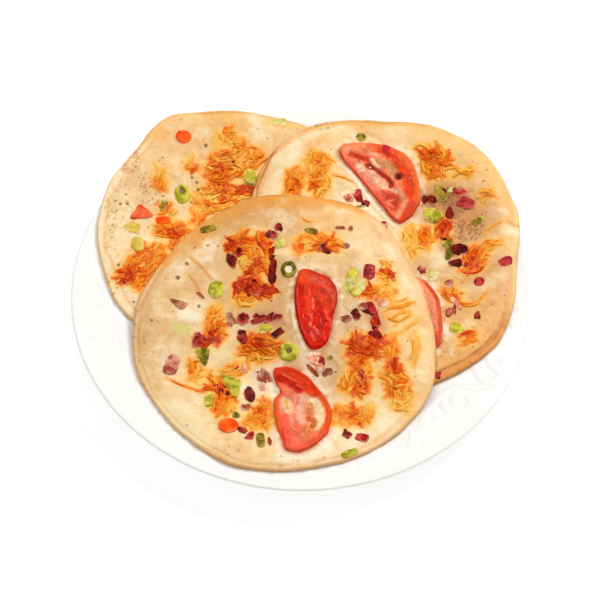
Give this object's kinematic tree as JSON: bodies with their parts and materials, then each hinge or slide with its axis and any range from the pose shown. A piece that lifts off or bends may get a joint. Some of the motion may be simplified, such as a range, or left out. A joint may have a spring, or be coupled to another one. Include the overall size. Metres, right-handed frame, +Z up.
{
  "type": "uttapam",
  "caption": "Uttapam: thick rice pancakes with tomato, carrot, chilli and onion pressed into their tops, overlapping on a round white dinner plate.",
  "frame": {"origin": "on the plate's axis, at the height of the foot it stands on", "axes": "+Z up out of the plate; the front pancake lies towards -Y, the left one towards -X and +Y, the right one towards +X and +Y"},
  "size_m": [0.27, 0.27, 0.0307],
  "materials": {
    "plate": "gloss white glaze",
    "uttapam": "soft griddled batter, cream to tan, browned at the edges",
    "tomato": "wet cut tomato",
    "carrot": "moist cooked carrot",
    "chilli": "moist green chilli",
    "onion": "moist red onion"
  },
  "bodies": {
    "root": {"carrot_front_a": "carrot", "carrot_left_a": "carrot", "carrot_left_b": "carrot", "carrot_left_c": "carrot", "chilli_front_a": "chilli", "chilli_front_b": "chilli", "chilli_front_c": "chilli", "chilli_front_d": "chilli", "chilli_front_e": "chilli", "chilli_front_f": "chilli", "chilli_front_g": "chilli", "chilli_front_h": "chilli", "chilli_front_i": "chilli", "chilli_front_j": "chilli", "chilli_front_k": "chilli", "chilli_front_l": "chilli", "chilli_left_a": "chilli", "chilli_left_b": "chilli", "chilli_right_a": "chilli", "chilli_right_b": "chilli", "chilli_right_c": "chilli", "chilli_right_d": "chilli", "onion_front_a": "onion", "onion_front_b": "onion", "onion_front_c": "onion", "onion_front_d": "onion", "onion_front_e": "onion", "onion_front_f": "onion", "onion_front_g": "onion", "onion_front_h": "onion", "onion_right_a": "onion", "onion_right_b": "onion", "onion_right_c": "onion", "onion_right_d": "onion", "plate": "plate", "tomato_back_slice": "tomato", "tomato_front_slice": "tomato", "tomato_front_wedge": "tomato", "tomato_tucked_slice": "tomato", "uttapam_front": "uttapam", "uttapam_left": "uttapam", "uttapam_right": "uttapam"}
  },
  "joints": []
}
